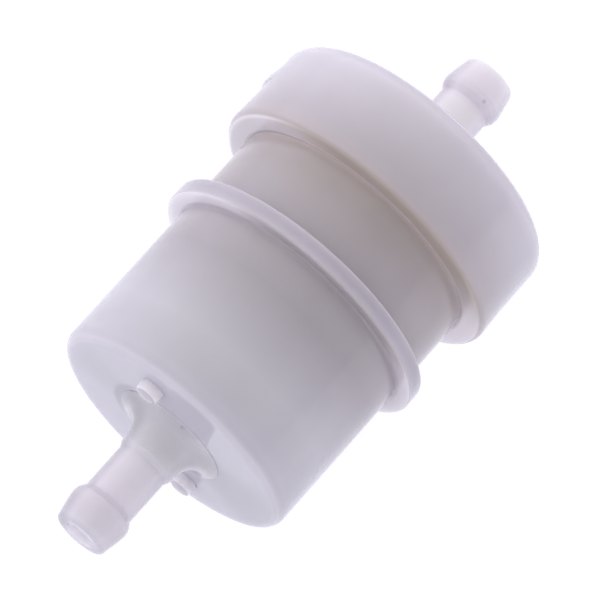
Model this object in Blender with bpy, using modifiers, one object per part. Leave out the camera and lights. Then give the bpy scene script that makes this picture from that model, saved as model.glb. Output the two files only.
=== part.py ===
"""In-line fuel filter for a small engine, lying along +X.

Fuel comes in through the barb at the origin, flows round the outside of a pleated paper element, passes
through the paper into a perforated core, and leaves through the barb on the cap.

Every piece is designed standing on its inlet, with its own Z along the filter's axis. One empty lays the
whole filter down, so that this axis becomes the world's +X and the inlet's mouth is the origin.
"""

from math import cos, pi, radians, sin

import bmesh
import bpy
from mathutils import Matrix, Vector

MM = 0.001

# Driving dimensions, in metres.
GAP = 0.3 * MM  # between pieces that touch in the real filter
STEPS = 48  # flats round the large turned pieces
SMALL_STEPS = 24  # flats round the core and the seal
GUIDE_SIDES = 20  # flats round lugs and legs

BORE_RADIUS = 2.1 * MM
STEM_RADIUS = 3.4 * MM
BULB_RADIUS = 4.0 * MM  # suits hose of 1/4 inch bore
BARB_END_RADIUS = 3.0 * MM
BULB_LENGTH = 5.1 * MM  # from the barb's end to the back of its bulb
FLARE_RADIUS = 7.4 * MM  # foot of the stem, where it meets the housing
FLARE_HEIGHT = 3.9 * MM
SHOULDER_RADIUS = 3.8 * MM

BODY_RADIUS = 16.6 * MM
BODY_WALL = 1.7 * MM
BODY_FLOOR = 2.0 * MM
BODY_EDGE = 1.75 * MM
BODY_FACE_Z = 16.4 * MM  # outer face of the housing's closed end
BODY_RIM_Z = 60.0 * MM  # open end, welded inside the cap

FLANGE_RADIUS = 18.7 * MM
FLANGE_LOW_Z = 38.2 * MM
FLANGE_HIGH_Z = 40.4 * MM
FLANGE_EDGE = 0.5 * MM

CAP_RADIUS = 19.6 * MM
CAP_LIP_RADIUS = 19.75 * MM
CAP_LIP_HEIGHT = 2.4 * MM
CAP_LIP_EDGE = 0.8 * MM
CAP_LOW_Z = 50.4 * MM
CAP_TOP_Z = 63.0 * MM
CAP_EDGE = 2.0 * MM
CAP_PLATE = 2.2 * MM
PLUG_WALL = 0.7 * MM  # ring on the cap that centres the housing's rim
PLUG_LOW_Z = 58.8 * MM
OUTLET_END_Z = 76.9 * MM

LUG_RADIUS = 1.5 * MM
LUG_HEIGHT = 1.4 * MM
LUG_CIRCLE = 11.15 * MM
LUG_ANGLE = radians(78.6)  # from +Y towards +Z

SPIGOT_RADIUS = 3.3 * MM
SPIGOT_LOW_Z = 54.5 * MM

ELEMENT_RADIUS = 13.6 * MM
INLET_PLATE_Z = 26.0 * MM
OUTLET_PLATE_Z = 56.0 * MM
DISC_PLATE = 1.2 * MM
DISC_RIM = 1.8 * MM
DISC_RIM_WALL = 0.8 * MM
LEG_RADIUS = 1.2 * MM
LEG_CIRCLE = 9.0 * MM
LEG_COUNT = 4

PLEATS = 26
PAPER = 0.35 * MM
PAPER_OUTER = 12.2 * MM
PAPER_INNER = 5.4 * MM
OUTER_FOLD = 0.44  # share of a pleat that its blunt outer fold takes up
INNER_FOLD = 0.40

CORE_OUTER = 4.6 * MM
CORE_INNER = 3.6 * MM
WINDOW_ROWS = 5
WINDOW_COLUMNS = 4
WINDOW_WIDTH = 2.2 * MM
WINDOW_HEIGHT = 3.4 * MM

RING_TUBE = 0.7 * MM
COLLAR_WALL = 1.1 * MM  # round the seal, on the outlet disc

# Places that follow from them, along the filter's axis.
FLOOR_Z = BODY_FACE_Z + BODY_FLOOR
PAPER_LOW_Z = INLET_PLATE_Z + DISC_PLATE + GAP
PAPER_HIGH_Z = OUTLET_PLATE_Z - GAP
CAP_CEILING_Z = CAP_TOP_Z - CAP_PLATE
RING_RADIUS = SPIGOT_RADIUS + GAP + RING_TUBE
RING_Z = OUTLET_PLATE_Z + DISC_PLATE + GAP + RING_TUBE
COLLAR_RADIUS = RING_RADIUS + RING_TUBE + GAP


def clear_scene():
    """Empties the scene that the filter is built in."""
    for old in list(bpy.data.objects):
        bpy.data.objects.remove(old, do_unlink=True)


def new_collection(name):
    """Adds a collection to the scene."""
    collection = bpy.data.collections.new(name)
    bpy.context.scene.collection.children.link(collection)
    return collection


def plastic(name, colour, roughness):
    """A moulded or fibrous material with one colour."""
    material = bpy.data.materials.new(name)
    material.use_nodes = True
    shader = material.node_tree.nodes["Principled BSDF"]
    shader.inputs["Base Color"].default_value = (*colour, 1.0)
    shader.inputs["Roughness"].default_value = roughness
    shader.inputs["Metallic"].default_value = 0.0
    return material


def add_object(name, mesh, material, collection, parent=None):
    """Wraps a mesh in a named object with its material."""
    piece = bpy.data.objects.new(name, mesh)
    collection.objects.link(piece)
    piece.data.materials.append(material)
    piece.parent = parent
    return piece


def quarter(radius_at, z_at, size, start, end, count=4):
    """Points along an arc about (radius_at, z_at), by angle from the outward direction."""
    points = []
    for index in range(count + 1):
        angle = start + (end - start) * index / count
        points.append((radius_at + size * cos(angle), z_at + size * sin(angle)))
    return points


def turned(name, outline, material, collection, parent, steps=STEPS):
    """Turns a closed outline of (radius, height), outer side downwards, about the filter's axis."""
    mesh = bpy.data.meshes.new(name)
    form = bmesh.new()
    corners = [form.verts.new((radius, 0.0, height)) for radius, height in outline]
    for first, second in zip(corners, corners[1:] + corners[:1]):
        form.edges.new((first, second))
    form.to_mesh(mesh)
    form.free()
    piece = add_object(name, mesh, material, collection, parent)
    screw = piece.modifiers.new("turn", "SCREW")
    screw.angle = 2.0 * pi
    screw.steps = steps
    screw.render_steps = steps
    screw.use_merge_vertices = True
    screw.merge_threshold = 0.01 * MM
    screw.use_smooth_shade = True
    return piece


def barb_outline(end_z, toward_body):
    """A hose barb's outer line from its end to its flared foot; toward_body is +1 or -1 along Z."""
    steps_along = (
        (BARB_END_RADIUS, 0.0),
        (BARB_END_RADIUS + 0.3 * MM, 0.12 * MM),
        (BARB_END_RADIUS + 0.45 * MM, 0.45 * MM),
        (BULB_RADIUS - 0.08 * MM, 2.7 * MM),
        (BULB_RADIUS, 3.5 * MM),
        (BULB_RADIUS - 0.08 * MM, 4.2 * MM),
        (STEM_RADIUS, BULB_LENGTH),
    )
    return [(radius, end_z + toward_body * along) for radius, along in steps_along]


def flare_outline(foot_z, toward_body, count=5):
    """The hollow-curved foot of a stem, from its shoulder down to the housing's face."""
    points = [(STEM_RADIUS, foot_z - toward_body * (FLARE_HEIGHT + 1.0 * MM))]
    for index in range(count + 1):
        share = index / count
        radius = SHOULDER_RADIUS + (FLARE_RADIUS - SHOULDER_RADIUS) * share**2
        points.append((radius, foot_z - toward_body * FLARE_HEIGHT * (1.0 - share)))
    return points


def body_outline():
    """The cup: flanged wall, rounded closed end and inlet barb, then back up the inside."""
    inside = BODY_RADIUS - BODY_WALL
    corner = BODY_RADIUS - BODY_EDGE
    edge = FLANGE_RADIUS - FLANGE_EDGE
    outline = [(inside, BODY_RIM_Z), (BODY_RADIUS, BODY_RIM_Z), (BODY_RADIUS, FLANGE_HIGH_Z)]
    outline += quarter(edge, FLANGE_HIGH_Z - FLANGE_EDGE, FLANGE_EDGE, pi / 2, 0.0, 2)
    outline += quarter(edge, FLANGE_LOW_Z + FLANGE_EDGE, FLANGE_EDGE, 0.0, -pi / 2, 2)
    outline.append((BODY_RADIUS, FLANGE_LOW_Z))
    outline += quarter(corner, BODY_FACE_Z + BODY_EDGE, BODY_EDGE, 0.0, -pi / 2)
    outline += reversed(flare_outline(BODY_FACE_Z, 1.0))
    outline += reversed(barb_outline(0.0, 1.0))
    outline += [(BORE_RADIUS, 0.0), (BORE_RADIUS, FLOOR_Z)]
    outline += quarter(inside - BODY_EDGE, FLOOR_Z + BODY_EDGE, BODY_EDGE, -pi / 2, 0.0)
    return outline


def cap_outline():
    """The lid: outlet barb, plate and skirt outside; weld groove, plug ring and spigot inside."""
    corner = CAP_RADIUS - CAP_EDGE
    skirt = BODY_RADIUS + GAP
    plug = BODY_RADIUS - BODY_WALL - GAP
    lip_corner = CAP_LIP_RADIUS - CAP_LIP_EDGE
    outline = [(BORE_RADIUS, OUTLET_END_Z)]
    outline += barb_outline(OUTLET_END_Z, -1.0)
    outline += flare_outline(CAP_TOP_Z, -1.0)
    outline += quarter(corner, CAP_TOP_Z - CAP_EDGE, CAP_EDGE, pi / 2, 0.0)
    outline += [(CAP_RADIUS, CAP_LOW_Z + CAP_LIP_HEIGHT), (CAP_LIP_RADIUS, CAP_LOW_Z + CAP_LIP_HEIGHT / 2)]
    outline += quarter(lip_corner, CAP_LOW_Z + CAP_LIP_EDGE, CAP_LIP_EDGE, 0.0, -pi / 2, 3)
    outline += [(skirt, CAP_LOW_Z), (skirt, BODY_RIM_Z + GAP), (plug, BODY_RIM_Z + GAP)]
    outline += [(plug, PLUG_LOW_Z), (plug - PLUG_WALL, PLUG_LOW_Z), (plug - PLUG_WALL, CAP_CEILING_Z)]
    outline += [(SPIGOT_RADIUS, CAP_CEILING_Z), (SPIGOT_RADIUS, SPIGOT_LOW_Z), (BORE_RADIUS, SPIGOT_LOW_Z)]
    return outline


def inlet_disc_outline():
    """The closed disc under the paper, with a rim that holds the pleats' outer edge."""
    top = INLET_PLATE_Z + DISC_PLATE
    hollow = ELEMENT_RADIUS - DISC_RIM_WALL
    return [
        (hollow, top + DISC_RIM),
        (ELEMENT_RADIUS, top + DISC_RIM),
        (ELEMENT_RADIUS, INLET_PLATE_Z),
        (0.0, INLET_PLATE_Z),
        (0.0, top),
        (hollow, top),
    ]


def outlet_disc_outline():
    """The open disc above the paper, with a rim downwards and the seal's collar upwards."""
    top = OUTLET_PLATE_Z + DISC_PLATE
    hollow = ELEMENT_RADIUS - DISC_RIM_WALL
    collar_top = CAP_CEILING_Z - 2.0 * GAP
    return [
        (COLLAR_RADIUS, collar_top),
        (COLLAR_RADIUS + COLLAR_WALL, collar_top),
        (COLLAR_RADIUS + COLLAR_WALL, top),
        (ELEMENT_RADIUS, top),
        (ELEMENT_RADIUS, OUTLET_PLATE_Z - DISC_RIM),
        (hollow, OUTLET_PLATE_Z - DISC_RIM),
        (hollow, OUTLET_PLATE_Z),
        (SPIGOT_RADIUS + GAP, OUTLET_PLATE_Z),
        (SPIGOT_RADIUS + GAP, top),
        (COLLAR_RADIUS, top),
    ]


def core_outline():
    """The plain tube that the paper stands round, before its windows are cut."""
    return [
        (CORE_INNER, PAPER_HIGH_Z),
        (CORE_OUTER, PAPER_HIGH_Z),
        (CORE_OUTER, PAPER_LOW_Z),
        (CORE_INNER, PAPER_LOW_Z),
    ]


def seal_outline(count=10):
    """The round section of the rubber ring."""
    points = quarter(RING_RADIUS, RING_Z, RING_TUBE, pi / 2, -1.5 * pi, count)
    return points[:-1]


def cylinder_cutter(name, radius, low_z, high_z, at, collection, parent):
    """A plain cylinder used to join or cut, standing along the filter's axis."""
    mesh = bpy.data.meshes.new(name)
    form = bmesh.new()
    bmesh.ops.create_cone(
        form,
        cap_ends=True,
        segments=GUIDE_SIDES,
        radius1=radius,
        radius2=radius,
        depth=high_z - low_z,
        matrix=Matrix.Translation((at[0], at[1], (low_z + high_z) / 2)),
    )
    form.to_mesh(mesh)
    form.free()
    return hide_guide(name, mesh, collection, parent)


def hide_guide(name, mesh, collection, parent):
    """Adds a mesh that only shapes other pieces."""
    guide = bpy.data.objects.new(name, mesh)
    collection.objects.link(guide)
    guide.parent = parent
    guide.hide_render = True
    guide.display_type = "WIRE"
    return guide


def boolean(piece, cutter, operation):
    """Joins a cutter to a piece, or cuts it away."""
    step = piece.modifiers.new(cutter.name, "BOOLEAN")
    step.operation = operation
    step.solver = "EXACT"
    step.object = cutter


def add_lugs(body, cutters, parent):
    """Two round lugs on the closed end's face, where the welding tool turns the housing."""
    sunk = 0.6 * MM
    for index in range(2):
        angle = LUG_ANGLE + pi * index
        at = (-LUG_CIRCLE * sin(angle), LUG_CIRCLE * cos(angle))
        low_z = BODY_FACE_Z - LUG_HEIGHT
        lug = cylinder_cutter(f"lug_{index}", LUG_RADIUS, low_z, BODY_FACE_Z + sunk, at, cutters, parent)
        boolean(body, lug, "UNION")


def add_legs(disc, cutters, parent):
    """Legs under the inlet disc that keep the element pushed up on its spigot."""
    sunk = 0.5 * MM
    for index in range(LEG_COUNT):
        angle = 2.0 * pi * (index + 0.5) / LEG_COUNT
        at = (LEG_CIRCLE * cos(angle), LEG_CIRCLE * sin(angle))
        leg = cylinder_cutter(
            f"leg_{index}", LEG_RADIUS, FLOOR_Z + GAP, INLET_PLATE_Z + sunk, at, cutters, parent
        )
        boolean(disc, leg, "UNION")


def cut_windows(core, cutters, parent):
    """Rows of windows through the core's wall, made as one cutter per row and direction."""
    pitch = (PAPER_HIGH_Z - PAPER_LOW_Z) / WINDOW_ROWS
    through = 4.0 * CORE_OUTER
    for row in range(WINDOW_ROWS):
        height = PAPER_LOW_Z + pitch * (row + 0.5)
        for side in range(WINDOW_COLUMNS // 2):
            name = f"window_{row}_{side}"
            mesh = bpy.data.meshes.new(name)
            form = bmesh.new()
            bmesh.ops.create_cube(form, size=1.0)
            bmesh.ops.scale(form, vec=Vector((through, WINDOW_WIDTH, WINDOW_HEIGHT)), verts=form.verts)
            turn = pi * side / 2 + pi / 4 * (row % 2)
            bmesh.ops.rotate(form, matrix=Matrix.Rotation(turn, 3, "Z"), verts=form.verts)
            bmesh.ops.translate(form, vec=Vector((0.0, 0.0, height)), verts=form.verts)
            form.to_mesh(mesh)
            form.free()
            boolean(core, hide_guide(name, mesh, cutters, parent), "DIFFERENCE")


def pleated_paper(material, collection, parent):
    """One sheet folded into pleats and closed into a ring, each fold blunted by two corners."""
    outer_half = OUTER_FOLD * pi / PLEATS
    inner_half = INNER_FOLD * pi / PLEATS
    mesh = bpy.data.meshes.new("filter_paper")
    form = bmesh.new()
    line = []
    for pleat in range(PLEATS):
        middle = 2.0 * pi * pleat / PLEATS
        across = middle + pi / PLEATS
        for radius, angle in (
            (PAPER_OUTER, middle - outer_half),
            (PAPER_OUTER, middle + outer_half),
            (PAPER_INNER, across - inner_half),
            (PAPER_INNER, across + inner_half),
        ):
            line.append(form.verts.new((radius * cos(angle), radius * sin(angle), PAPER_LOW_Z)))
    edges = [form.edges.new(pair) for pair in zip(line, line[1:] + line[:1])]
    raised = bmesh.ops.extrude_edge_only(form, edges=edges)["geom"]
    upper = [item for item in raised if isinstance(item, bmesh.types.BMVert)]
    bmesh.ops.translate(form, vec=Vector((0.0, 0.0, PAPER_HIGH_Z - PAPER_LOW_Z)), verts=upper)
    bmesh.ops.recalc_face_normals(form, faces=form.faces)
    form.to_mesh(mesh)
    form.free()
    paper = add_object("filter_paper", mesh, material, collection, parent)
    shell = paper.modifiers.new("thickness", "SOLIDIFY")
    shell.thickness = PAPER
    shell.offset = 0.0
    shell.use_even_offset = True
    return paper


def build():
    """Makes the filter's pieces and lays them along +X."""
    clear_scene()
    parts = new_collection("fuel_filter")
    cutters = new_collection("cutters")
    axis = bpy.data.objects.new("filter_axis", None)
    parts.objects.link(axis)
    axis.rotation_euler = (0.0, pi / 2, 0.0)

    nylon = plastic("milky_nylon", (0.80, 0.79, 0.83), 0.38)
    paper = plastic("filter_paper_fibre", (0.72, 0.66, 0.52), 0.85)
    end_plastic = plastic("element_plastic", (0.74, 0.73, 0.74), 0.45)
    rubber = plastic("seal_rubber", (0.03, 0.03, 0.03), 0.6)

    body = turned("housing_body", body_outline(), nylon, parts, axis)
    add_lugs(body, cutters, axis)
    turned("housing_cap", cap_outline(), nylon, parts, axis)
    inlet_disc = turned("element_inlet_disc", inlet_disc_outline(), end_plastic, parts, axis)
    add_legs(inlet_disc, cutters, axis)
    turned("element_outlet_disc", outlet_disc_outline(), end_plastic, parts, axis)
    core = turned("element_core", core_outline(), end_plastic, parts, axis, SMALL_STEPS)
    cut_windows(core, cutters, axis)
    pleated_paper(paper, parts, axis)
    turned("outlet_seal_ring", seal_outline(), rubber, parts, axis, SMALL_STEPS)


build()
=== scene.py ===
"""Looks of an in-line fuel filter: a milky, glossy moulded housing and cap round a pleated paper element.

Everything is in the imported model's frame: metres, the filter's axis along +X from the inlet barb's mouth.
"""

from math import acos, asin, atan2, cos, hypot, pi, radians, sin, tan

import bmesh
import bpy
from mathutils import Matrix, Vector


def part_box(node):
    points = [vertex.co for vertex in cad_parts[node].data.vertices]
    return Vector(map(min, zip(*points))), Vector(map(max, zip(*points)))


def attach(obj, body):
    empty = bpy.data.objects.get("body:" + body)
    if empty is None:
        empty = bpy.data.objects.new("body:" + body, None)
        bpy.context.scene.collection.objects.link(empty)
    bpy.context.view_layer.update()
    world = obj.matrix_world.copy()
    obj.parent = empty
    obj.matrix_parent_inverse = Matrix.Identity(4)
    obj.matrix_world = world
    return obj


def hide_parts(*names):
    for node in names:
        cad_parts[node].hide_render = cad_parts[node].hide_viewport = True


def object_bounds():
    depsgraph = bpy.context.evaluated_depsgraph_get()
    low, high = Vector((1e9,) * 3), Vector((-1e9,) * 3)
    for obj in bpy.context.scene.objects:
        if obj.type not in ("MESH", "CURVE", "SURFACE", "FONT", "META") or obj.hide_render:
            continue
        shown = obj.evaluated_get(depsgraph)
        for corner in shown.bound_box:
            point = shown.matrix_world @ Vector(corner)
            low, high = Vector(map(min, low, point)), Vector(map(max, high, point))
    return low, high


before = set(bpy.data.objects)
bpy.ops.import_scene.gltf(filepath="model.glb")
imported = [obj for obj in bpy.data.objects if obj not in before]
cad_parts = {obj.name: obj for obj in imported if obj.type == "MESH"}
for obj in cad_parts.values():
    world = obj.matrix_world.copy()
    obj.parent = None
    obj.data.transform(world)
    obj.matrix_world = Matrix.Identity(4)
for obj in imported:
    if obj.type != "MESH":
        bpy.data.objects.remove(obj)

MM = 0.001
CAD_LOW, CAD_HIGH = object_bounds()
BODY_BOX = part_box("housing_body")
CAP_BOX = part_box("housing_cap")
PAPER_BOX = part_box("filter_paper")
INLET_DISC_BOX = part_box("element_inlet_disc")
OUTLET_DISC_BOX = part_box("element_outlet_disc")
CORE_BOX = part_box("element_core")
SEAL_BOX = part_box("outlet_seal_ring")

TURN = 2.0 * pi
SEGMENTS = 160  # round every large turned piece
SMALL_SEGMENTS = 48
SHARP = radians(35.0)  # edges steeper than this stay crisp

# Barbs and their flared feet.
BORE_RADIUS = 2.1 * MM
STEM_RADIUS = 3.4 * MM
BULB_RADIUS = 4.06 * MM
FLARE_RADIUS = 7.4 * MM
FLARE_HEIGHT = 3.9 * MM
FLARE_STEP = 0.11 * MM  # the low crisp edge round the foot
SHOULDER_RADIUS = 3.78 * MM

# Housing.
BODY_RADIUS = 16.6 * MM
BODY_WALL = 1.7 * MM
BODY_EDGE = 1.4 * MM
BODY_FACE_X = 16.4 * MM
BODY_FLOOR_X = BODY_FACE_X + 2.0 * MM
BODY_RIM_X = BODY_BOX[1].x
FLANGE_RADIUS = BODY_BOX[1].y
FLANGE_LOW_X = 38.2 * MM
FLANGE_HIGH_X = 40.4 * MM
FLANGE_EDGE = 0.25 * MM
LUG_RADIUS = 1.5 * MM
LUG_HEIGHT = 1.4 * MM
LUG_CIRCLE = 11.15 * MM
LUG_ANGLE = radians(78.6)  # from +Y towards +Z

# Cap.
CAP_RADIUS = 19.6 * MM
CAP_LIP_RADIUS = CAP_BOX[1].y - 0.01 * MM
CAP_LOW_X = CAP_BOX[0].x
CAP_TOP_X = 63.0 * MM
CAP_CEILING_X = CAP_TOP_X - 2.2 * MM
CAP_CORNER = 2.0 * MM
CAP_WAIST_X = 55.0 * MM  # from here down the wall widens a little towards the lip
CAP_WAIST_CURVE = 8.0 * MM
CAP_LIP_X = 51.6 * MM
CAP_LIP_CURVE = 3.0 * MM
CAP_LIP_EDGE = 0.9 * MM
OUTLET_END_X = CAP_BOX[1].x
PAD_ANGLE = radians(15.6)  # from +Y towards +Z
PAD_LOW_X = 57.05 * MM
PAD_HIGH_X = 59.3 * MM
PAD_HEIGHT = 0.3 * MM  # a low swelling of the wall, with a crisp lower end
PAD_SPREAD = radians(16.0)
GATE_RADIUS = 0.3 * MM
FLARE_GATE_X = BODY_FACE_X - 0.37 * MM
FLARE_GATE_RADIUS = 6.7 * MM
FLARE_GATE_ANGLE = radians(110.4)
BARB_GATE_X = 72.6 * MM
BARB_GATE_RADIUS = BULB_RADIUS + 0.12 * MM
BARB_GATE_ANGLE = radians(126.0)
BARB_GATE_SIZE = 0.8  # share of the other gate's radius
WELD_GAP = 0.01 * MM
WELD_OVERLAP = 0.02 * MM  # where the two are melted into each other
SPIGOT_RADIUS = 3.3 * MM
SPIGOT_LOW_X = 54.5 * MM
PLUG_LOW_X = 58.8 * MM
PLUG_WALL = 0.7 * MM

# Paper element.
DISC_RADIUS = INLET_DISC_BOX[1].y
DISC_PLATE = 1.2 * MM
DISC_RIM_WALL = 0.8 * MM
INLET_PLATE_X = 26.0 * MM
OUTLET_PLATE_X = 56.0 * MM
LEG_RADIUS = 1.2 * MM
LEG_CIRCLE = 9.0 * MM
LEGS = 4
PLEATS = 26
PAPER_THICKNESS = 0.3 * MM
PAPER_OUTER = 12.2 * MM
PAPER_INNER = 5.4 * MM
CORE_RADIUS = 4.1 * MM  # middle of its wall
CORE_WALL = 1.0 * MM
CORE_EDGE = 0.12 * MM
WINDOW_ROWS = 5
WINDOW_HEIGHT = 3.4 * MM
SEAL_TUBE = 0.7 * MM
COLLAR_WALL = 1.1 * MM

# Light. The surroundings dim and change their tint between two heights.
HORIZON_LIGHT = 1.0
OVERHEAD_LIGHT = 0.80
DIM_FROM = 0.35
DIM_TO = 0.85
HORIZON_TINT = (0.965, 0.942, 1.075)
OVERHEAD_TINT = (1.0, 0.98, 1.0)
TINT_FROM = 0.1
SIDE_LIGHT = (0.10, 0.36, 0.05)
FLOOR_GLOW = 0.95
FLOOR_TINT = (1.0, 0.985, 1.08, 1.0)
FLOOR_GAP = 0.05 * MM

# Nylon's depth and gloss.
SCATTER = 4.5 * MM
JOINT_SCATTER = 0.5 * MM  # where the cap sits on the body
JOINT_REACH = 0.3 * MM
JOINT_FADE = 1.5 * MM
STEM_SCATTER = 0.4  # share of the usual scatter in the thin-walled stems
STEM_LENGTH = 6.2 * MM
STEM_START = 5.2 * MM  # from the barb's mouth
STEM_FADE = 1.0 * MM
SHEEN = 0.10
SHEEN_TINT = (0.72, 0.68, 1.0, 1.0)
COAT = 0.15
GLOSS = (0.04, 0.08)  # lowest and highest roughness
CLOUD_SCALE = 90.0  # features per metre, as for every scale here
WAVE_SCALE = 160.0
WAVE_DEPTH = 0.15 * MM
GRAIN_SCALE = 2600.0
GRAIN_DEPTH = 0.02 * MM

# Nylon's tones at single places.
FACE = (0.555, 0.54, 0.595)
# The thin stems are lighter: partly their own tone with nothing behind them, partly painted light coming
# through their thin walls.
INLET_STEM = (0.835, 0.795, 0.855)
OUTLET_STEM = (0.96, 0.905, 0.975)
LUG = (0.78, 0.75, 0.775)
# Undersides of the flange and the cap: painted light at their sides, and painted shade on the part that faces
# up.
FLANGE_UNDERSIDE_PAINTED_LIGHT_SHADE = ((0.75, 0.715, 0.755), (0.43, 0.40, 0.405))
CAP_UNDERSIDE_PAINTED_LIGHT_SHADE = ((1.0, 0.95, 1.0), (0.49, 0.43, 0.375))
SHADED_WAY = (0.0, -0.42, 0.91)
SHADED_FULL = 16.5 * MM  # this far along the shaded way, an underside is fully shaded
FLANGE_SHADED_FROM = 9.5 * MM
CAP_SHADED_FROM = 4.0 * MM
# The way across the filter along which the painted side shade changes.
SIDE_SHADE_WAY = (0.0, 0.963, 0.269)
GATE_TONE = (0.3, 0.29, 0.32)
GATE_SHARE = 0.45
SPLIT_SOFT = 0.4 * MM
BORE_SKIN = 0.01 * MM  # past the bore's wall, where its painted light starts to fade
BORE_FADE = 0.05 * MM
# How far a flat face's tone reaches before and past it, and how softly it ends.
FACE_BEFORE = 0.05 * MM
FACE_PAST = 0.01 * MM
FACE_SOFT = 0.06 * MM
# Painted shade along the two sides: shares of the tone from one side of the filter (0) to the other (1).
INNER_SIDE_SHADE = ((0.0, 0.85), (0.2, 1.0), (0.8, 1.0), (1.0, 0.72))
OUTER_SIDE_SHADE = ((0.0, 0.845), (0.13, 0.965), (0.36, 0.985), (0.6, 1.0), (0.94, 1.0), (1.0, 0.94))
# Tones of the plastic by x in mm, towards the axis and away from it. It is darker and warmer where the
# element stands close behind it. Some of the tones are painted light and shade: a painted highlight on the
# bevel round the closed end, painted light at the flange's root and where the cap meets the body against the
# shade in those corners, painted shade on the cap's lip against the light it catches, painted shade on the
# lugs' ends, and lighter stems, partly painted light coming through their thin walls.
BODY_SPLIT = 8.5 * MM
BODY_INNER = (
    (0.0, (0.50, 0.485, 0.535)),
    (0.08, (0.50, 0.485, 0.535)),
    (0.45, (0.66, 0.635, 0.685)),
    (4.5, (0.735, 0.69, 0.745)),
    (5.2, INLET_STEM),
    (10.6, INLET_STEM),
    (11.9, (0.74, 0.72, 0.76)),
    (14.6, (0.68, 0.66, 0.69)),
    (16.2, (0.59, 0.57, 0.60)),
)
BODY_OUTER = (
    # Painted shade on the lugs' ends, which face the inlet.
    (15.05, (0.43, 0.415, 0.45)),
    (15.4, LUG),
    (16.0, LUG),
    (16.4, (0.57, 0.555, 0.605)),
    # A painted highlight on the bevel round the closed end.
    (16.9, (0.64, 0.62, 0.67)),
    (17.2, (0.55, 0.535, 0.585)),
    (18.2, (0.605, 0.59, 0.64)),
    (24.0, (0.64, 0.625, 0.675)),
    (33.0, (0.47, 0.44, 0.47)),
    (37.6, (0.51, 0.475, 0.50)),
    # Painted light at the flange's root, against the shade in that corner.
    (38.1, (0.62, 0.58, 0.61)),
    (38.4, (0.50, 0.475, 0.52)),
    (40.1, (0.45, 0.425, 0.47)),
    (40.5, (0.50, 0.465, 0.495)),
    (44.0, (0.49, 0.45, 0.465)),
    (47.5, (0.48, 0.43, 0.43)),
    (49.4, (0.51, 0.455, 0.44)),
    (50.1, (0.57, 0.505, 0.485)),
    # Painted light where the cap sits on the body, against the shade in that joint.
    (50.4, (0.80, 0.71, 0.68)),
)
CAP_SPLIT = 19.0 * MM
CAP_INNER = (
    (50.0, (0.72, 0.67, 0.69)),
    (60.0, (0.70, 0.65, 0.68)),
    (63.0, (0.58, 0.55, 0.60)),
    (65.0, OUTLET_STEM),
    (71.0, OUTLET_STEM),
    (72.5, (0.82, 0.77, 0.83)),
)
CAP_OUTER = (
    # Painted light on the cap's lowest edge against the shade at the joint, and painted shade on its lip
    # against the light it catches.
    (50.4, (0.62, 0.565, 0.575)),
    (51.2, (0.54, 0.495, 0.51)),
    (53.0, (0.55, 0.515, 0.545)),
    (58.0, (0.655, 0.625, 0.67)),
    (61.3, (0.70, 0.67, 0.72)),
    (62.4, (0.58, 0.55, 0.60)),
)
# Painted light in the bore, against the shade that falls in it.
BORE_PAINTED_LIGHT = (0.86, 0.815, 0.88)


# ---------------------------------------------------------------- outlines


def rounded(corners, fine=6):
    """Rounds the corners of a closed outline of (x, radius, fillet) into (x, radius) points."""
    points = []
    count = len(corners)
    for index, (x, radius, fillet) in enumerate(corners):
        corner = Vector((x, radius))
        to_before = Vector(corners[index - 1][:2]) - corner
        to_after = Vector(corners[(index + 1) % count][:2]) - corner
        half = pi / 2
        if fillet > 0.0 and to_before.length > 0.0 and to_after.length > 0.0:
            to_before.normalize()
            to_after.normalize()
            half = acos(max(-1.0, min(1.0, to_before.dot(to_after)))) / 2
        if half > radians(88.0):
            points.append((x, radius))
            continue
        middle = corner + (to_before + to_after).normalized() * (fillet / sin(half))
        start = corner + to_before * (fillet / tan(half)) - middle
        end = corner + to_after * (fillet / tan(half)) - middle
        sweep = start.angle_signed(end)
        for step in range(fine + 1):
            turned = start.copy()
            turned.rotate(Matrix.Rotation(-sweep * step / fine, 2))
            points.append((middle.x + turned.x, middle.y + turned.y))
    return points


def spaced(points, longest=0.9 * MM):
    """Adds points along the outline's long straight stretches, so that the shading stays even."""
    filled = []
    for first, second in zip(points, points[1:] + points[:1]):
        length = hypot(second[0] - first[0], second[1] - first[1])
        parts = max(1, int(length / longest + 0.5))
        for step in range(parts):
            share = step / parts
            x = first[0] + (second[0] - first[0]) * share
            filled.append((x, first[1] + (second[1] - first[1]) * share))
    return filled


def barb(end_x, inward):
    """A hose barb's outer line from its mouth to its stem; inward is +1 or -1 along X."""
    line = (
        (0.0, BORE_RADIUS, 0.05),
        (0.0, 3.42 * MM, 0.45),
        (2.4 * MM, 3.90 * MM, 2.5),
        (3.5 * MM, BULB_RADIUS, 0.9),
        (4.25 * MM, BULB_RADIUS - 0.1 * MM, 0.45),
        (5.15 * MM, STEM_RADIUS, 0.5),
    )
    return [(end_x + inward * along, radius, fillet * MM) for along, radius, fillet in line]


def flare(foot_x, inward, count=9):
    """The stem's hollow-curved foot, from its small shoulder down to a crisp edge on the face."""
    line = [
        (foot_x - inward * (FLARE_HEIGHT + 1.2 * MM), STEM_RADIUS, 0.3 * MM),
        (foot_x - inward * (FLARE_HEIGHT + 0.4 * MM), SHOULDER_RADIUS, 0.3 * MM),
    ]
    for index in range(1, count + 1):
        share = index / count
        radius = SHOULDER_RADIUS + (FLARE_RADIUS - SHOULDER_RADIUS) * share**2.2
        height = FLARE_STEP + (FLARE_HEIGHT - FLARE_STEP) * (1.0 - share) ** 1.5
        line.append((foot_x - inward * height, radius, FLARE_STEP / 3 if index == count else 0.0))
    line.append((foot_x, FLARE_RADIUS, 0.0))
    return line


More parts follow.
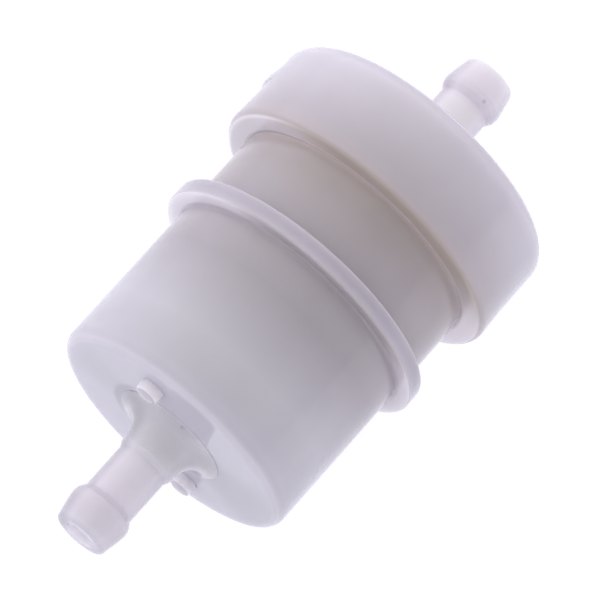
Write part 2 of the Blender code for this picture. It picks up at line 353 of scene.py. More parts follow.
def body_outline():
    """The housing's section: inlet barb, closed end, flange and rim outside, plain cup inside."""
    inside = BODY_RADIUS - BODY_WALL
    line = barb(0.0, 1.0) + flare(BODY_FACE_X, 1.0)
    line += [
        (BODY_FACE_X, BODY_RADIUS, BODY_EDGE),
        (FLANGE_LOW_X, BODY_RADIUS, 0.35 * MM),
        (FLANGE_LOW_X, FLANGE_RADIUS, FLANGE_EDGE),
        (FLANGE_HIGH_X, FLANGE_RADIUS, FLANGE_EDGE),
        (FLANGE_HIGH_X, BODY_RADIUS, 0.35 * MM),
        (BODY_RIM_X, BODY_RADIUS, 0.2 * MM),
        (BODY_RIM_X, inside, 0.2 * MM),
        (BODY_FLOOR_X, inside, BODY_EDGE),
        (BODY_FLOOR_X, BORE_RADIUS, 0.3 * MM),
    ]
    return spaced(rounded(line))


def cap_outline():
    """The cap's section: outlet barb, plate and skirt outside; weld groove, plug ring and spigot inside."""
    groove = BODY_RIM_X + WELD_GAP
    skirt = BODY_RADIUS - WELD_OVERLAP
    plug = BODY_RADIUS - BODY_WALL - WELD_GAP
    line = barb(OUTLET_END_X, -1.0) + flare(CAP_TOP_X, -1.0)
    line += [
        (CAP_TOP_X, CAP_RADIUS, CAP_CORNER),
        # These points let the swelling of the wall start softly and end crisply.
        (PAD_HIGH_X + 0.1 * MM, CAP_RADIUS, 0.0),
        (PAD_HIGH_X - 0.5 * MM, CAP_RADIUS, 0.0),
        (PAD_LOW_X + 0.9 * MM, CAP_RADIUS, 0.0),
        (PAD_LOW_X + 0.25 * MM, CAP_RADIUS, 0.0),
        (PAD_LOW_X + 0.02 * MM, CAP_RADIUS, 0.0),
        (PAD_LOW_X - 0.12 * MM, CAP_RADIUS, 0.0),
        (CAP_WAIST_X, CAP_RADIUS, CAP_WAIST_CURVE),
        (CAP_LIP_X, CAP_LIP_RADIUS, CAP_LIP_CURVE),
        (CAP_LOW_X, CAP_LIP_RADIUS, CAP_LIP_EDGE),
        (CAP_LOW_X, skirt, 0.0),
        (groove, skirt, 0.02 * MM),
        (groove, plug, 0.02 * MM),
        (PLUG_LOW_X, plug, 0.15 * MM),
        (PLUG_LOW_X, plug - PLUG_WALL, 0.15 * MM),
        (CAP_CEILING_X, plug - PLUG_WALL, 0.3 * MM),
        (CAP_CEILING_X, SPIGOT_RADIUS, 0.5 * MM),
        (SPIGOT_LOW_X, SPIGOT_RADIUS, 0.3 * MM),
        (SPIGOT_LOW_X, BORE_RADIUS, 0.15 * MM),
    ]
    return spaced(rounded(line))


def lug_outline():
    """A round lug's section, with a softened end; it starts a little inside the closed end's face."""
    sunk = 0.8 * MM
    soft = 0.4 * MM
    height = LUG_HEIGHT + sunk
    root = LUG_RADIUS * 1.04  # it widens a little towards its root
    return rounded([(0.0, 0.0, 0.0), (0.0, LUG_RADIUS, soft), (height, root, 0.0), (height, 0.0, 0.0)])


def inlet_disc_outline():
    """The closed disc's section, with the rim that holds the pleats' outer edge."""
    low = INLET_PLATE_X
    top = low + DISC_PLATE
    high = INLET_DISC_BOX[1].x
    hollow = DISC_RADIUS - DISC_RIM_WALL
    soft = 0.3 * MM
    line = [
        (low, 0.0, 0.0),
        (low, DISC_RADIUS, soft),
        (high, DISC_RADIUS, soft / 2),
        (high, hollow, soft / 2),
        (top, hollow, soft),
        (top, 0.0, 0.0),
    ]
    return spaced(rounded(line))


def outlet_disc_outline():
    """The open disc's section: rim towards the paper, collar for the seal towards the cap."""
    top = OUTLET_PLATE_X + DISC_PLATE
    low = OUTLET_DISC_BOX[0].x
    high = OUTLET_DISC_BOX[1].x
    hollow = DISC_RADIUS - DISC_RIM_WALL
    hole = SPIGOT_RADIUS + 0.3 * MM
    collar = SEAL_BOX[1].y + 0.3 * MM
    soft = 0.3 * MM
    line = [
        (OUTLET_PLATE_X, hole, soft),
        (OUTLET_PLATE_X, hollow, soft),
        (low, hollow, soft / 2),
        (low, DISC_RADIUS, soft / 2),
        (top, DISC_RADIUS, soft),
        (top, collar + COLLAR_WALL, soft),
        (high, collar + COLLAR_WALL, soft),
        (high, collar, soft),
        (top, collar, 0.0),
        (top, hole, soft),
    ]
    return spaced(rounded(line))


def seal_outline(count=24):
    """The seal's round section, with the fine flash line that its mould leaves on the outside."""
    middle_x = (SEAL_BOX[0].x + SEAL_BOX[1].x) / 2
    middle_radius = SEAL_BOX[1].y - SEAL_TUBE
    points = []
    for index in range(count):
        angle = TURN * index / count
        size = SEAL_TUBE - (0.0 if index == count // 4 else 0.02 * MM)
        points.append((middle_x + size * cos(angle), middle_radius + size * sin(angle)))
    return points


# ---------------------------------------------------------------- meshes


def finish_piece(name, form, material):
    """Turns a bmesh into a smooth-shaded object with its material."""
    mesh = bpy.data.meshes.new(name)
    form.to_mesh(mesh)
    form.free()
    mesh.materials.append(material)
    piece = bpy.data.objects.new(name, mesh)
    bpy.context.scene.collection.objects.link(piece)
    shade(piece)
    return piece


def shade(piece):
    """Smooth shading that keeps steep edges crisp."""
    piece.data.shade_smooth()
    piece.data.set_sharp_from_angle(angle=SHARP)


def lathe(outline, segments=SEGMENTS):
    """A closed outline of (x, radius) turned about the X axis; it may touch the axis."""
    nothing = 1e-9
    form = bmesh.new()
    rings = []
    for segment in range(segments):
        angle = TURN * segment / segments
        rings.append([form.verts.new((x, radius * cos(angle), radius * sin(angle))) for x, radius in outline])
    for segment in range(segments):
        here = rings[segment]
        there = rings[(segment + 1) % segments]
        for index in range(len(outline)):
            after = (index + 1) % len(outline)
            if outline[index][1] > nothing or outline[after][1] > nothing:
                form.faces.new((here[index], here[after], there[after], there[index]))
    bmesh.ops.remove_doubles(form, verts=form.verts, dist=nothing)
    bmesh.ops.recalc_face_normals(form, faces=form.faces)
    return form


def apply_modifiers(piece):
    """Bakes a piece's modifiers into its mesh."""
    graph = bpy.context.evaluated_depsgraph_get()
    final = bpy.data.meshes.new_from_object(piece.evaluated_get(graph))
    piece.modifiers.clear()
    piece.data = final


def combine(piece, tools, operation):
    """Joins closed forms to a piece, or cuts them out of it."""
    for tool in tools:
        step = piece.modifiers.new("combine", "BOOLEAN")
        step.operation = operation
        step.solver = "EXACT"
        step.object = tool
        apply_modifiers(piece)
        bpy.data.objects.remove(tool, do_unlink=True)
    shade(piece)


def moved(form, place):
    """Shifts a form to its place."""
    bmesh.ops.translate(form, vec=Vector(place), verts=form.verts)
    return form


def around(x, radius, angle):
    """A point at an angle from +Y towards +Z about the filter's axis."""
    return Vector((x, radius * cos(angle), radius * sin(angle)))


def cut_ball(name, centre, radius, material):
    """A small ball that cuts a round pit."""
    form = bmesh.new()
    bmesh.ops.create_icosphere(form, subdivisions=3, radius=radius)
    return finish_piece(name, moved(form, centre), material)


# ---------------------------------------------------------------- materials


def new_material(name):
    """A node material; gives back the material, its nodes, its links and its shader."""
    material = bpy.data.materials.new(name)
    material.use_nodes = True
    nodes = material.node_tree.nodes
    return material, nodes, material.node_tree.links, nodes["Principled BSDF"]


def add_node(nodes, kind, **settings):
    """A node with its own settings, and its input values by input name."""
    node = nodes.new(kind)
    for key, value in settings.items():
        if key == "inputs":
            for name, number in value.items():
                node.inputs[name].default_value = number
        else:
            setattr(node, key, value)
    return node


def ramp(nodes, stops, interpolation="EASE"):
    """A colour ramp with (position, colour) stops."""
    node = nodes.new("ShaderNodeValToRGB")
    node.color_ramp.interpolation = interpolation
    elements = node.color_ramp.elements
    while len(elements) < len(stops):
        elements.new(0.5)
    for element, (position, colour) in zip(elements, stops):
        element.position = position
        element.color = (*colour, 1.0)
    return node


def object_place(nodes, links):
    """The point on the piece, and that point's own X and distance from the filter's axis."""
    place = add_node(nodes, "ShaderNodeTexCoord").outputs["Object"]
    split = add_node(nodes, "ShaderNodeSeparateXYZ")
    links.new(place, split.inputs[0])
    across = add_node(nodes, "ShaderNodeCombineXYZ")
    links.new(split.outputs["Y"], across.inputs["Y"])
    links.new(split.outputs["Z"], across.inputs["Z"])
    radius = add_node(nodes, "ShaderNodeVectorMath", operation="LENGTH")
    links.new(across.outputs[0], radius.inputs[0])
    return place, split.outputs["X"], radius.outputs["Value"]


def by_range(nodes, links, value, low, high, at_low, at_high):
    """A smooth change from one number to another as a value goes from low to high."""
    node = add_node(
        nodes,
        "ShaderNodeMapRange",
        interpolation_type="SMOOTHSTEP",
        inputs={"From Min": low, "From Max": high, "To Min": at_low, "To Max": at_high},
    )
    links.new(value, node.inputs["Value"])
    return node.outputs["Result"]


def product(nodes, links, *values):
    """The product of some values."""
    total = values[0]
    for value in values[1:]:
        node = add_node(nodes, "ShaderNodeMath", operation="MULTIPLY")
        links.new(total, node.inputs[0])
        links.new(value, node.inputs[1])
        total = node.outputs[0]
    return total


def noise(nodes, links, place, scale, detail=3.0, rough=0.55):
    """Noise at a number of features per metre."""
    inputs = {"Scale": scale, "Detail": detail, "Roughness": rough}
    node = add_node(nodes, "ShaderNodeTexNoise", inputs=inputs)
    links.new(place, node.inputs["Vector"])
    return node.outputs["Fac"]


def mixed(nodes, links, first, second, blend="MIX", share=None):
    """Blends two colours; share is a socket, or everything is blended."""
    node = add_node(nodes, "ShaderNodeMix", data_type="RGBA", blend_type=blend)
    node.inputs["Factor"].default_value = 1.0
    if share:
        links.new(share, node.inputs["Factor"])
    for socket, colour in (("A", first), ("B", second)):
        if isinstance(colour, tuple):
            node.inputs[socket].default_value = (*colour, 1.0)
        else:
            links.new(colour, node.inputs[socket])
    return node.outputs["Result"]


def bumped(nodes, links, height, strength, distance, before=None):
    """A bump from a height, on top of another bump if there is one."""
    node = add_node(nodes, "ShaderNodeBump", inputs={"Strength": strength, "Distance": distance})
    links.new(height, node.inputs["Height"])
    if before:
        links.new(before, node.inputs["Normal"])
    return node.outputs["Normal"]


def tone_along(nodes, links, x, tones):
    """A colour that changes along the filter; tones are (x in mm, colour)."""
    share = add_node(nodes, "ShaderNodeMapRange", inputs={"From Min": 0.0, "From Max": OUTLET_END_X})
    links.new(x, share.inputs["Value"])
    tone = ramp(nodes, [(x_mm * MM / OUTLET_END_X, colour) for x_mm, colour in tones], "LINEAR")
    links.new(share.outputs["Result"], tone.inputs["Fac"])
    return tone.outputs["Color"]


def along(nodes, links, place, direction):
    """How far a point lies in a direction."""
    node = add_node(nodes, "ShaderNodeVectorMath", operation="DOT_PRODUCT")
    node.inputs[1].default_value = direction
    links.new(place, node.inputs[0])
    return node.outputs["Value"]


def lug_distance(nodes, links, place):
    """The distance from the nearer lug's own axis; the two lugs stand opposite each other."""
    outward = along(nodes, links, place, around(0.0, 1.0, LUG_ANGLE))
    sideways = along(nodes, links, place, around(0.0, 1.0, LUG_ANGLE + pi / 2))
    size = add_node(nodes, "ShaderNodeMath", operation="ABSOLUTE")
    links.new(outward, size.inputs[0])
    away = add_node(nodes, "ShaderNodeMath", operation="SUBTRACT")
    away.inputs[1].default_value = LUG_CIRCLE
    links.new(size.outputs[0], away.inputs[0])
    joined = add_node(nodes, "ShaderNodeCombineXYZ")
    links.new(away.outputs[0], joined.inputs["X"])
    links.new(sideways, joined.inputs["Y"])
    distance = add_node(nodes, "ShaderNodeVectorMath", operation="LENGTH")
    links.new(joined.outputs[0], distance.inputs[0])
    return distance.outputs["Value"]


def between(nodes, links, value, low, high, soft):
    """One while a value is between two others, nothing outside them, with soft ends."""
    rise = by_range(nodes, links, value, low - soft, low, 0.0, 1.0)
    return product(nodes, links, rise, by_range(nodes, links, value, high, high + soft, 1.0, 0.0))


def in_and_out(nodes, links, x, radius, inner_tones, outer_tones, split):
    """Tones along the filter, with their own run inside and outside a radius; painted light in the bore,
    against the shade that falls in it.
    """
    inner = tone_along(nodes, links, x, inner_tones)
    outer = tone_along(nodes, links, x, outer_tones)
    outside = by_range(nodes, links, radius, split - SPLIT_SOFT, split + SPLIT_SOFT, 0.0, 1.0)
    skin = BORE_RADIUS + BORE_SKIN
    in_bore = by_range(nodes, links, radius, skin, skin + BORE_FADE, 1.0, 0.0)
    return mixed(nodes, links, mixed(nodes, links, inner, outer, share=outside), BORE_PAINTED_LIGHT, share=in_bore)


def underside(nodes, links, place, base, tones, share, reach, shaded_from):
    """Paints light on a face that overhangs the body, and paints shade on the part of it that faces up."""
    light, dark = tones
    lit = mixed(nodes, links, base, light, share=share)
    up = by_range(nodes, links, along(nodes, links, place, SHADED_WAY), shaded_from, SHADED_FULL, 0.0, 1.0)
    return mixed(nodes, links, lit, dark, share=product(nodes, links, reach, up))


def off_wall(nodes, links, radius, full):
    """Nothing on the body's wall and one from a distance outside it."""
    return by_range(nodes, links, radius, BODY_RADIUS + 0.1 * MM, BODY_RADIUS + full, 0.0, 1.0)


def body_tones(nodes, links, place, x, radius):
    """The body's colour, with its own tones on the closed end's face and the lugs, painted light round the
    lugs' feet, and painted light and shade under the flange.
    """
    base = in_and_out(nodes, links, x, radius, BODY_INNER, BODY_OUTER, BODY_SPLIT)
    on_face = between(nodes, links, x, BODY_FACE_X - FACE_BEFORE, BODY_FACE_X + FACE_PAST, FACE_SOFT)
    foot = 0.1 * MM
    off_flare = by_range(nodes, links, radius, FLARE_RADIUS - foot, FLARE_RADIUS + foot, 0.0, 1.0)
    base = mixed(nodes, links, base, FACE, share=product(nodes, links, on_face, off_flare))

    distance = lug_distance(nodes, links, place)
    # The lug's tone reaches just past its side onto the face: painted light against the shade round its foot.
    near = by_range(nodes, links, distance, LUG_RADIUS + 0.03 * MM, LUG_RADIUS + 0.15 * MM, 1.0, 0.0)
    end_soft = 0.2 * MM
    lug_end = BODY_FACE_X - LUG_HEIGHT + end_soft
    side = between(nodes, links, x, lug_end, BODY_FACE_X + FACE_PAST, end_soft)
    base = mixed(nodes, links, base, LUG, share=product(nodes, links, near, side))

    # Painted light at the sides of the flange's underside, painted shade on the part of it that faces up.
    outside = off_wall(nodes, links, radius, 0.4 * MM)
    under = between(nodes, links, x, FLANGE_LOW_X - FACE_BEFORE, FLANGE_LOW_X + FACE_PAST, FACE_SOFT)
    share = product(nodes, links, under, outside)
    edge = 0.12 * MM
    edge_soft = 0.14 * MM
    reach = between(nodes, links, x, FLANGE_LOW_X - FACE_BEFORE, FLANGE_LOW_X + edge, edge_soft)
    reach = product(nodes, links, reach, outside)
    return underside(nodes, links, place, base, FLANGE_UNDERSIDE_PAINTED_LIGHT_SHADE, share, reach, FLANGE_SHADED_FROM)


def cap_tones(nodes, links, place, x, radius):
    """The cap's colour, with painted light and shade underneath."""
    base = in_and_out(nodes, links, x, radius, CAP_INNER, CAP_OUTER, CAP_SPLIT)
    outside = off_wall(nodes, links, radius, 0.5 * MM)
    low = CAP_LOW_X + FACE_PAST
    lit_end = CAP_LOW_X + 0.25 * MM
    shaded_end = CAP_LOW_X + 0.6 * MM
    under = by_range(nodes, links, x, low, lit_end, 1.0, 0.0)
    reach = by_range(nodes, links, x, low, shaded_end, 1.0, 0.0)
    share = product(nodes, links, under, outside)
    reach = product(nodes, links, reach, outside)
    return underside(nodes, links, place, base, CAP_UNDERSIDE_PAINTED_LIGHT_SHADE, share, reach, CAP_SHADED_FROM)


def painted_side_shade(nodes, links, place, radius, split):
    """Painted shade that makes the plastic slightly darker along the two sides, as shares of the colour."""
    across = add_node(nodes, "ShaderNodeMath", operation="DIVIDE")
    links.new(along(nodes, links, place, SIDE_SHADE_WAY), across.inputs[0])
    links.new(radius, across.inputs[1])
    spread = add_node(nodes, "ShaderNodeMapRange", inputs={"From Min": -1.0, "From Max": 1.0})
    links.new(across.outputs[0], spread.inputs["Value"])
    sides = []
    for shares in (INNER_SIDE_SHADE, OUTER_SIDE_SHADE):
        tone = ramp(nodes, [(position, (share, share, share)) for position, share in shares])
        links.new(spread.outputs["Result"], tone.inputs["Fac"])
        sides.append(tone.outputs["Color"])
    outside = by_range(nodes, links, radius, split - SPLIT_SOFT, split + SPLIT_SOFT, 0.0, 1.0)
    return mixed(nodes, links, *sides, share=outside)


def gate_spot(nodes, links, place, base, gate):
    """A slightly darker spot where the plastic was fed into the mould."""
    spot = add_node(nodes, "ShaderNodeVectorMath", operation="DISTANCE")
    spot.inputs[1].default_value = gate
    links.new(place, spot.inputs[0])
    near = GATE_RADIUS * 0.6
    far = GATE_RADIUS * 1.6
    share = by_range(nodes, links, spot.outputs["Value"], near, far, GATE_SHARE, 0.0)
    return mixed(nodes, links, base, GATE_TONE, share=share)


def scatter_depth(nodes, links, x, stem_x):
    """How deep light goes: less at the joint of cap and body, and in the stem."""
    joint = add_node(nodes, "ShaderNodeMath", operation="SUBTRACT")
    joint.inputs[1].default_value = CAP_LOW_X
    links.new(x, joint.inputs[0])
    apart = add_node(nodes, "ShaderNodeMath", operation="ABSOLUTE")
    links.new(joint.outputs[0], apart.inputs[0])
    faded = JOINT_REACH + JOINT_FADE
    depth = by_range(nodes, links, apart.outputs[0], JOINT_REACH, faded, JOINT_SCATTER, SCATTER)
    in_stem = between(nodes, links, x, stem_x, stem_x + STEM_LENGTH, STEM_FADE)
    return product(nodes, links, depth, by_range(nodes, links, in_stem, 0.0, 1.0, 1.0, STEM_SCATTER))


def milky_nylon(name, tones, split, stem_x, gate):
    """Milky glossy nylon with its own tones and painted light and shade, faint clouds, long soft waves and a
    fine grain.
    """
    material, nodes, links, shader = new_material(name)
    place, x, radius = object_place(nodes, links)
    base = tones(nodes, links, place, x, radius)
    base = gate_spot(nodes, links, place, base, gate)
    # Painted shade along the two sides.
    base = mixed(nodes, links, base, painted_side_shade(nodes, links, place, radius, split), "MULTIPLY")

    cloud = noise(nodes, links, place, CLOUD_SCALE)
    shade_ramp = ramp(nodes, ((0.3, (0.965, 0.965, 0.965)), (0.7, (1.0, 1.0, 1.0))))
    links.new(cloud, shade_ramp.inputs["Fac"])
    links.new(mixed(nodes, links, base, shade_ramp.outputs["Color"], "MULTIPLY"), shader.inputs["Base Color"])
    links.new(by_range(nodes, links, cloud, 0.3, 0.7, *GLOSS), shader.inputs["Roughness"])

    waves = bumped(nodes, links, noise(nodes, links, place, WAVE_SCALE, 1.0), 0.10, WAVE_DEPTH)
    grain = noise(nodes, links, place, GRAIN_SCALE, 2.0, 0.6)
    links.new(bumped(nodes, links, grain, 0.12, GRAIN_DEPTH, waves), shader.inputs["Normal"])

    links.new(scatter_depth(nodes, links, x, stem_x), shader.inputs["Subsurface Scale"])
    shader.inputs["Subsurface Weight"].default_value = 1.0
    shader.inputs["Subsurface Radius"].default_value = (1.0, 0.96, 1.0)
    shader.inputs["IOR"].default_value = 1.5
    shader.inputs["Coat Weight"].default_value = COAT
    shader.inputs["Coat Roughness"].default_value = 0.04
    shader.inputs["Sheen Weight"].default_value = SHEEN
    shader.inputs["Sheen Roughness"].default_value = 0.4
    shader.inputs["Sheen Tint"].default_value = SHEEN_TINT
    return material


def paper_fibre():
    """Resin-treated filter paper: cream, with darker fibres along the sheet, lighter towards its outer folds.
    """
    material, nodes, links, shader = new_material("paper_fibre")
    place, x, radius = object_place(nodes, links)
    stretch = add_node(nodes, "ShaderNodeMapping", inputs={"Scale": (0.25, 1.0, 1.0)})
    links.new(place, stretch.inputs["Vector"])
    fibres = noise(nodes, links, stretch.outputs["Vector"], 3200.0, 6.0, 0.7)
    dark, usual, light = (0.58, 0.50, 0.37), (0.67, 0.59, 0.445), (0.74, 0.675, 0.535)
    tone = ramp(nodes, ((0.3, dark), (0.52, usual), (0.75, light)))
    links.new(fibres, tone.inputs["Fac"])
    folded = by_range(nodes, links, radius, PAPER_OUTER - 1.0 * MM, PAPER_OUTER, 0.0, 0.5)
    lighter_outward = mixed(nodes, links, tone.outputs["Color"], (0.80, 0.75, 0.63), share=folded)
    stain = noise(nodes, links, place, 220.0)
    blotch = ramp(nodes, ((0.35, (0.88, 0.85, 0.80)), (0.65, (1.0, 1.0, 1.0))))
    links.new(stain, blotch.inputs["Fac"])
    links.new(mixed(nodes, links, lighter_outward, blotch.outputs["Color"], "MULTIPLY"), shader.inputs["Base Color"])
    links.new(by_range(nodes, links, fibres, 0.3, 0.7, 0.82, 0.95), shader.inputs["Roughness"])
    grooves = add_node(nodes, "ShaderNodeMath", operation="SINE")
    turns = add_node(nodes, "ShaderNodeMath", operation="MULTIPLY")
    turns.inputs[1].default_value = TURN / (1.3 * MM)
    links.new(x, turns.inputs[0])
    links.new(turns.outputs[0], grooves.inputs[0])
    embossed = bumped(nodes, links, grooves.outputs[0], 0.35, 0.03 * MM)
    links.new(bumped(nodes, links, fibres, 0.6, 0.05 * MM, embossed), shader.inputs["Normal"])
    return material


def element_plastic():
    """Pale moulded plastic of the discs and the core, with faint flow marks and a satin grain."""
    material, nodes, links, shader = new_material("element_plastic")
    place = add_node(nodes, "ShaderNodeTexCoord").outputs["Object"]
    flow = noise(nodes, links, place, 320.0, 4.0, 0.6)
    dark, usual, light = (0.71, 0.70, 0.695), (0.75, 0.74, 0.735), (0.78, 0.77, 0.77)
    tone = ramp(nodes, ((0.3, dark), (0.5, usual), (0.7, light)))
    links.new(flow, tone.inputs["Fac"])
    links.new(tone.outputs["Color"], shader.inputs["Base Color"])
    links.new(by_range(nodes, links, flow, 0.3, 0.7, 0.36, 0.5), shader.inputs["Roughness"])
    grain = noise(nodes, links, place, 4200.0, 3.0, 0.6)
    links.new(bumped(nodes, links, grain, 0.25, 0.02 * MM), shader.inputs["Normal"])
    return material


def seal_rubber():
    """Black nitrile rubber with a faint grey bloom."""
    material, nodes, links, shader = new_material("seal_rubber")
    place = add_node(nodes, "ShaderNodeTexCoord").outputs["Object"]
    bloom = noise(nodes, links, place, 900.0, 5.0, 0.65)
    dark, usual, grey = (0.018, 0.018, 0.019), (0.03, 0.03, 0.031), (0.065, 0.065, 0.066)
    tone = ramp(nodes, ((0.35, dark), (0.6, usual), (0.8, grey)))
    links.new(bloom, tone.inputs["Fac"])
    links.new(tone.outputs["Color"], shader.inputs["Base Color"])
    links.new(by_range(nodes, links, bloom, 0.35, 0.75, 0.45, 0.7), shader.inputs["Roughness"])
    grain = noise(nodes, links, place, 5200.0, 3.0, 0.6)
    links.new(bumped(nodes, links, grain, 0.3, 0.02 * MM), shader.inputs["Normal"])
    return material


# ---------------------------------------------------------------- housing and cap


def make_body():
    """The housing, with its two lugs and the small gate mark on the inlet flare, as one moulding."""
    gate = around(FLARE_GATE_X, FLARE_GATE_RADIUS, FLARE_GATE_ANGLE)
    nylon = milky_nylon("body_nylon", body_tones, BODY_SPLIT, STEM_START, gate)
    body = finish_piece("housing_body_shell", lathe(body_outline()), nylon)
    lugs = []
    for index in range(2):
        place = around(BODY_FACE_X - LUG_HEIGHT, LUG_CIRCLE, LUG_ANGLE + pi * index)
        lug = moved(lathe(lug_outline(), SMALL_SEGMENTS), place)
        lugs.append(finish_piece(f"lug_{index}", lug, nylon))
    combine(body, lugs, "UNION")
    combine(body, [cut_ball("gate_pit", gate, GATE_RADIUS, nylon)], "DIFFERENCE")
    return body


def swell(form):
    """Lifts a short stretch of the cap's wall: highest at its lower end, fading upward and to both sides."""
    outside = CAP_RADIUS - 0.01 * MM
    steepness = 1.6
    for corner in form.verts:
        x, across, up = corner.co
        turn = abs(atan2(up, across) - PAD_ANGLE)
        if hypot(across, up) > outside and PAD_LOW_X < x < PAD_HIGH_X and turn < PAD_SPREAD:
            taper = min(1.0, (PAD_HIGH_X - x) / (PAD_HIGH_X - PAD_LOW_X) * steepness)
            lift = PAD_HEIGHT * taper * cos(pi / 2 * turn / PAD_SPREAD) ** 2
            corner.co = around(x, hypot(across, up) + lift, atan2(up, across))


def make_cap():
    """The cap with its outlet barb and a low swelling on its wall, as one moulding."""
    gate = around(BARB_GATE_X, BARB_GATE_RADIUS, BARB_GATE_ANGLE)
    stem_x = OUTLET_END_X - STEM_START - STEM_LENGTH
    nylon = milky_nylon("cap_nylon", cap_tones, CAP_SPLIT, stem_x, gate)
    form = lathe(cap_outline())
    swell(form)
    cap = finish_piece("housing_cap_shell", form, nylon)
    combine(cap, [cut_ball("far_gate_pit", gate, GATE_RADIUS * BARB_GATE_SIZE, nylon)], "DIFFERENCE")
    return cap


# ---------------------------------------------------------------- paper element


def pleat_radius(share):
    """The sheet's distance from the axis at a share of one pleat: straight walls, rounded folds."""
    soft = 0.975
    wave = asin(soft * cos(TURN * share)) / asin(soft)
    return (PAPER_OUTER + PAPER_INNER) / 2 + (PAPER_OUTER - PAPER_INNER - PAPER_THICKNESS) / 2 * wave


def make_paper():
    """One pleated sheet closed into a ring, with folds that wander a little as hand-fed paper does."""
    points_per_pleat = 16
    rows = 14
    length = PAPER_BOX[1].x - PAPER_BOX[0].x
    form = bmesh.new()
    grid = []
    for row in range(rows + 1):
        x = PAPER_BOX[0].x + length * row / rows
        ring = []
        for index in range(PLEATS * points_per_pleat):
            share = index / points_per_pleat
            wander = 0.012 * sin(2.3 * int(share) + 5.0 * row / rows) + 0.008 * sin(5.1 * int(share) + 1.7)
            angle = TURN * (share + wander * sin(pi * row / rows)) / PLEATS
            radius = pleat_radius(share)
            ring.append(form.verts.new((x, radius * cos(angle), radius * sin(angle))))
        grid.append(ring)
    for low, high in zip(grid, grid[1:]):
        for index in range(len(low)):
            after = (index + 1) % len(low)
            form.faces.new((low[index], low[after], high[after], high[index]))
    bmesh.ops.recalc_face_normals(form, faces=form.faces)
    paper = finish_piece("pleated_paper", form, paper_fibre())
    shell = paper.modifiers.new("thickness", "SOLIDIFY")
    shell.thickness = PAPER_THICKNESS
    shell.offset = 0.0
    apply_modifiers(paper)
    shade(paper)
    return paper


def make_inlet_disc(plastic):
    """The closed disc with its legs."""
    disc = finish_piece("inlet_disc", lathe(inlet_disc_outline()), plastic)
    sunk = 0.5 * MM
    soft = 0.35 * MM
    low = INLET_DISC_BOX[0].x
    high = INLET_PLATE_X + sunk
    leg_line = rounded([(low, 0.0, 0.0), (low, LEG_RADIUS, soft), (high, LEG_RADIUS, 0.0), (high, 0.0, 0.0)])
    legs = []
    for index in range(LEGS):
        place = around(0.0, LEG_CIRCLE, TURN * (index + 0.5) / LEGS)
        legs.append(finish_piece(f"leg_{index}", moved(lathe(leg_line, SMALL_SEGMENTS), place), plastic))
    combine(disc, legs, "UNION")
    return disc


def make_core(plastic):
    """The tube inside the pleats, with staggered rows of windows whose edges are softened."""
    around_count = 48
    half_window = 2
    per_quarter = around_count // 4
    pitch = (CORE_BOX[1].x - CORE_BOX[0].x) / WINDOW_ROWS
    form = bmesh.new()
    levels = [CORE_BOX[0].x]
    for row in range(WINDOW_ROWS):
        middle = CORE_BOX[0].x + pitch * (row + 0.5)
        levels += [middle - WINDOW_HEIGHT / 2, middle + WINDOW_HEIGHT / 2]
    levels.append(CORE_BOX[1].x)
    rings = []
    for x in levels:
        places = [around(x, CORE_RADIUS, TURN * index / around_count) for index in range(around_count)]
        rings.append([form.verts.new(place) for place in places])
    for level, (low, high) in enumerate(zip(rings, rings[1:])):
        stagger = per_quarter // 2 * ((level - 1) // 2 % 2)
        for index in range(around_count):
            offset = (index - stagger + half_window) % per_quarter
            if level % 2 == 1 and offset < 2 * half_window:
                continue
            after = (index + 1) % around_count
            form.faces.new((low[index], low[after], high[after], high[index]))
    bmesh.ops.recalc_face_normals(form, faces=form.faces)
    core = finish_piece("perforated_core", form, plastic)
    shell = core.modifiers.new("wall", "SOLIDIFY")
    shell.thickness = CORE_WALL
    shell.offset = 0.0
    edges = core.modifiers.new("edges", "BEVEL")
    edges.width = CORE_EDGE
    edges.segments = 2
    apply_modifiers(core)
    shade(core)
    return core


def make_element():
    """The five pieces inside the housing."""
    plastic = element_plastic()
    inlet_disc = make_inlet_disc(plastic)
    outlet_disc = finish_piece("outlet_disc", lathe(outlet_disc_outline()), plastic)
    core = make_core(plastic)
    paper = make_paper()
    seal = finish_piece("seal_o_ring", lathe(seal_outline(), SEGMENTS // 2), seal_rubber())
    return (
        (inlet_disc, "element_inlet_disc", "element_plastic"),
        (outlet_disc, "element_outlet_disc", "element_plastic"),
        (core, "element_core", "element_plastic"),
        (paper, "filter_paper", "filter_paper"),
        (seal, "outlet_seal_ring", "seal_rubber"),
    )


# ---------------------------------------------------------------- stage, light and camera


def make_stage():
    """A plain pale floor right under the filter, lit from within like a light table."""
    material, nodes, links, shader = new_material("pale_floor")
    shader.inputs["Base Color"].default_value = (0.12, 0.12, 0.12, 1.0)
    shader.inputs["Roughness"].default_value = 0.9
    shader.inputs["Specular IOR Level"].default_value = 0.0
    shader.inputs["Emission Color"].default_value = FLOOR_TINT
    shader.inputs["Emission Strength"].default_value = FLOOR_GLOW
    form = bmesh.new()
    bmesh.ops.create_grid(form, x_segments=1, y_segments=1, size=3.0)
    floor = finish_piece("floor", form, material)
    floor.location = (0.0, 0.0, CAD_LOW.z - FLOOR_GAP)


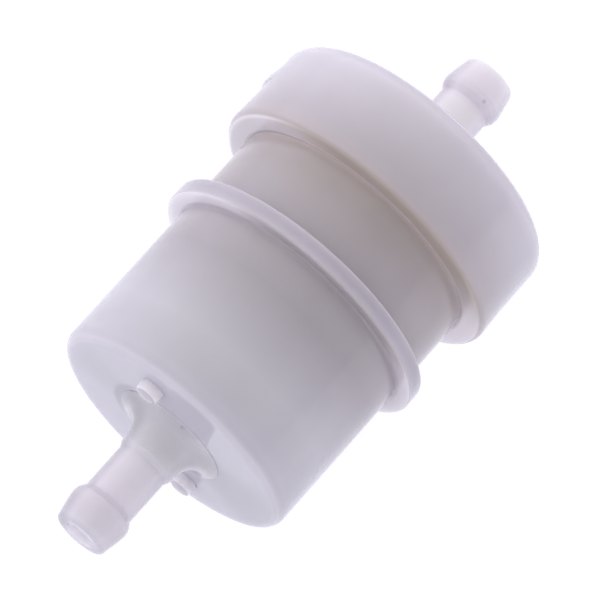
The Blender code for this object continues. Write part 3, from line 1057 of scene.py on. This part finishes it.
def make_light():
    """Soft white surroundings like a light tent, with a dimmer opening overhead."""
    world = bpy.data.worlds.new("studio")
    bpy.context.scene.world = world
    world.use_nodes = True
    nodes = world.node_tree.nodes
    links = world.node_tree.links
    place = nodes.new("ShaderNodeTexCoord").outputs["Generated"]
    split = nodes.new("ShaderNodeSeparateXYZ")
    links.new(place, split.inputs[0])
    height = by_range(nodes, links, split.outputs["Z"], DIM_FROM, DIM_TO, HORIZON_LIGHT, OVERHEAD_LIGHT)
    total = add_node(nodes, "ShaderNodeMath", operation="ADD")
    links.new(height, total.inputs[0])
    links.new(along(nodes, links, place, SIDE_LIGHT), total.inputs[1])
    background = nodes["Background"]
    up = by_range(nodes, links, split.outputs["Z"], TINT_FROM, DIM_TO, 0.0, 1.0)
    tint = mixed(nodes, links, HORIZON_TINT, OVERHEAD_TINT, share=up)
    links.new(tint, background.inputs["Color"])
    links.new(total.outputs["Value"], background.inputs["Strength"])


def make_camera():
    """A long lens that looks down at the filter from its inlet end."""
    azimuth = radians(-50.62)
    elevation = radians(66.2)
    distance = 579.3 * MM
    back = Vector((sin(azimuth) * cos(elevation), -cos(azimuth) * cos(elevation), sin(elevation)))
    right = Vector((cos(azimuth), sin(azimuth), 0.0))
    up = back.cross(right)
    target = Vector((39.57 * MM, -0.80 * MM, -0.22 * MM))
    data = bpy.data.cameras.new("camera")
    data.sensor_width = 36.0
    data.lens = 292.0
    data.clip_start = 0.01
    data.clip_end = 20.0
    camera = bpy.data.objects.new("camera", data)
    bpy.context.scene.collection.objects.link(camera)
    turned = Matrix((right, up, back)).transposed().to_4x4()
    camera.matrix_world = Matrix.Translation(target + back * distance) @ turned
    bpy.context.scene.camera = camera


def main():
    make_camera()
    make_stage()
    make_light()
    pieces = ((make_body(), "housing_body", "housing_nylon"), (make_cap(), "housing_cap", "housing_nylon"))
    for piece, node, slot in pieces + make_element():
        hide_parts(node)
        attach(piece, "root")
    bpy.context.scene.view_settings.view_transform = "Standard"


main()
